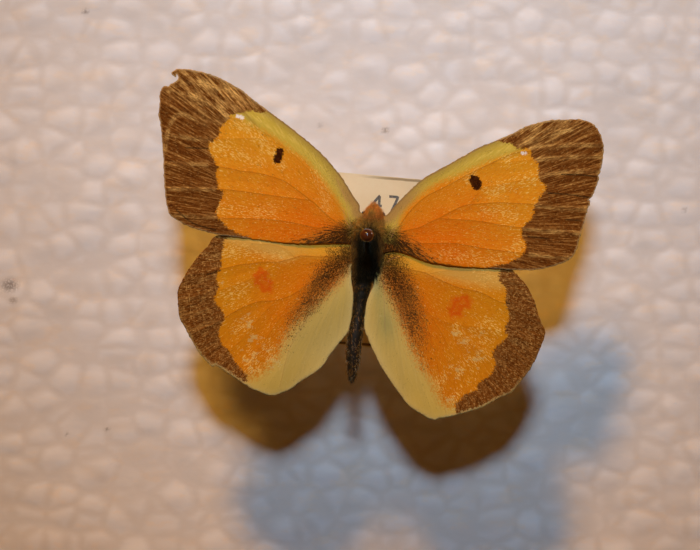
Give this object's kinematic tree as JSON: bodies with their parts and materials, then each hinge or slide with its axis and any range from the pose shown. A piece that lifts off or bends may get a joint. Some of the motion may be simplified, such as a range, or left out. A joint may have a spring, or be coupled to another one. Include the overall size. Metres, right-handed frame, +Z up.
{
  "type": "framed butterfly specimen",
  "caption": "Spread orange butterfly on an insect pin with a paper data label, held in a white foam panel inside a shallow wooden frame that stands or hangs.",
  "frame": {"origin": "middle of the bounding box's base, on the surface that the bottom rail stands on", "axes": "+Z up, -Y the front that the butterfly faces, +X to the viewer's right"},
  "size_m": [0.122, 0.047, 0.106],
  "materials": {
    "rail_wood": "brown stained wood under a thin satin oil",
    "board": "brown hardboard, smooth and matt",
    "brad_steel": "plain drawn wire",
    "foam": "white closed-cell foam with a quilted surface",
    "pin_steel": "black enamelled wire",
    "pin_head": "glossy brown ball",
    "paper": "cream label paper, aged and slightly curled",
    "insect_body": "black chitin under brown and olive hair",
    "wing": "orange scales with a dark brown border, dry and matt"
  },
  "bodies": {
    "root": {"frame_rail_top": "rail_wood", "frame_rail_bottom": "rail_wood", "frame_rail_left": "rail_wood", "frame_rail_right": "rail_wood", "backing_board": "board", "backing_brad_1": "brad_steel", "backing_brad_2": "brad_steel", "backing_brad_3": "brad_steel", "backing_brad_4": "brad_steel", "backing_brad_5": "brad_steel", "backing_brad_6": "brad_steel", "backing_brad_7": "brad_steel", "backing_brad_8": "brad_steel", "foam_panel": "foam", "insect_pin": "pin_steel", "pin_head": "pin_head", "data_label": "paper", "head": "insect_body", "thorax": "insect_body", "abdomen": "insect_body", "forewing_left": "wing", "forewing_right": "wing", "hindwing_left": "wing", "hindwing_right": "wing", "leg_front_left": "insect_body", "leg_front_right": "insect_body", "leg_middle_left": "insect_body", "leg_middle_right": "insect_body", "leg_hind_left": "insect_body", "leg_hind_right": "insect_body"}
  },
  "joints": []
}
